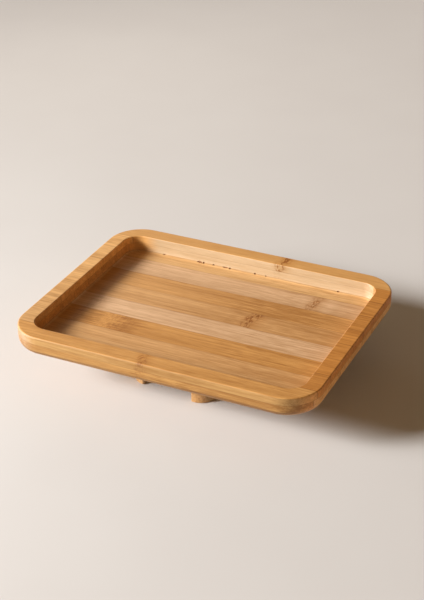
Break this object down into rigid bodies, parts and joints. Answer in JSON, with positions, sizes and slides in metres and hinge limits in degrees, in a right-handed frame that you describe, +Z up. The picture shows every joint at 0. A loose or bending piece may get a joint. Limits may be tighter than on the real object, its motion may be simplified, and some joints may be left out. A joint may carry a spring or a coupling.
{
  "type": "swivelling serving tray",
  "caption": "Rectangular bamboo serving tray with rounded corners and a deep milled recess, on a low two-runner base with a ball bearing swivel.",
  "frame": {"origin": "on the table surface, directly under the middle of the tray board and on the swivel axis", "axes": "+X along the board's long side to the right, +Y to its back, +Z up along the swivel axis"},
  "size_m": [0.33, 0.258, 0.0654],
  "materials": {
    "bamboo_pale": "pale bamboo strip, flat grain, food-safe oil, satin",
    "bamboo_honey": "honey-coloured bamboo strip, flat grain, food-safe oil, satin",
    "bamboo_golden": "golden brown bamboo strip, flat grain, food-safe oil, satin",
    "bearing_steel": "zinc-plated pressed steel",
    "screw_steel": "zinc-plated steel",
    "ball_steel": "polished bearing steel",
    "cage_plastic": "off-white moulded nylon",
    "pad_rubber": "matt black rubber"
  },
  "bodies": {
    "base": {"base_strip_left": "bamboo_honey", "base_strip_middle": "bamboo_pale", "base_strip_right": "bamboo_honey", "left_runner": "bamboo_honey", "right_runner": "bamboo_honey", "foot_pads": "pad_rubber", "runner_screws": "screw_steel", "bearing_lower_plate": "bearing_steel", "lower_plate_screws": "screw_steel"},
    "tray": {"bottom_strip_1": "bamboo_golden", "bottom_strip_2": "bamboo_honey", "bottom_strip_3": "bamboo_honey", "bottom_strip_4": "bamboo_golden", "bottom_strip_5": "bamboo_pale", "bottom_strip_6": "bamboo_honey", "bottom_strip_7": "bamboo_golden", "bottom_strip_8": "bamboo_pale", "bottom_strip_9": "bamboo_golden", "bottom_strip_10": "bamboo_honey", "middle_front_rail": "bamboo_honey", "middle_back_rail": "bamboo_pale", "middle_left_block_1": "bamboo_honey", "middle_left_block_2": "bamboo_honey", "middle_left_block_3": "bamboo_golden", "middle_left_block_4": "bamboo_honey", "middle_left_block_5": "bamboo_honey", "middle_left_block_6": "bamboo_golden", "middle_left_block_7": "bamboo_honey", "middle_right_block_1": "bamboo_honey", "middle_right_block_2": "bamboo_honey", "middle_right_block_3": "bamboo_golden", "middle_right_block_4": "bamboo_honey", "middle_right_block_5": "bamboo_honey", "middle_right_block_6": "bamboo_golden", "middle_right_block_7": "bamboo_honey", "top_front_rail": "bamboo_honey", "top_back_rail": "bamboo_honey", "top_left_block_1": "bamboo_pale", "top_left_block_2": "bamboo_honey", "top_left_block_3": "bamboo_honey", "top_left_block_4": "bamboo_pale", "top_left_block_5": "bamboo_honey", "top_left_block_6": "bamboo_honey", "top_left_block_7": "bamboo_pale", "top_right_block_1": "bamboo_honey", "top_right_block_2": "bamboo_golden", "top_right_block_3": "bamboo_golden", "top_right_block_4": "bamboo_honey", "top_right_block_5": "bamboo_golden", "top_right_block_6": "bamboo_golden", "top_right_block_7": "bamboo_honey", "bearing_upper_plate": "bearing_steel", "upper_plate_screws": "screw_steel"},
    "ball_set": {"ball_cage": "cage_plastic", "bearing_balls": "ball_steel"}
  },
  "joints": [
    {"name": "tray_swivel", "type": "hinge", "parent": "base", "child": "tray", "pos_m": [0, 0, 0.03845], "axis": [0, 0, 1], "continuous": true},
    {"name": "ball_orbit", "type": "hinge", "parent": "base", "child": "ball_set", "pos_m": [0, 0, 0.03845], "axis": [0, 0, 1], "continuous": true}
  ],
  "couplings": [
    {"joint": "ball_orbit", "follows": "tray_swivel", "ratio": 0.5}
  ]
}
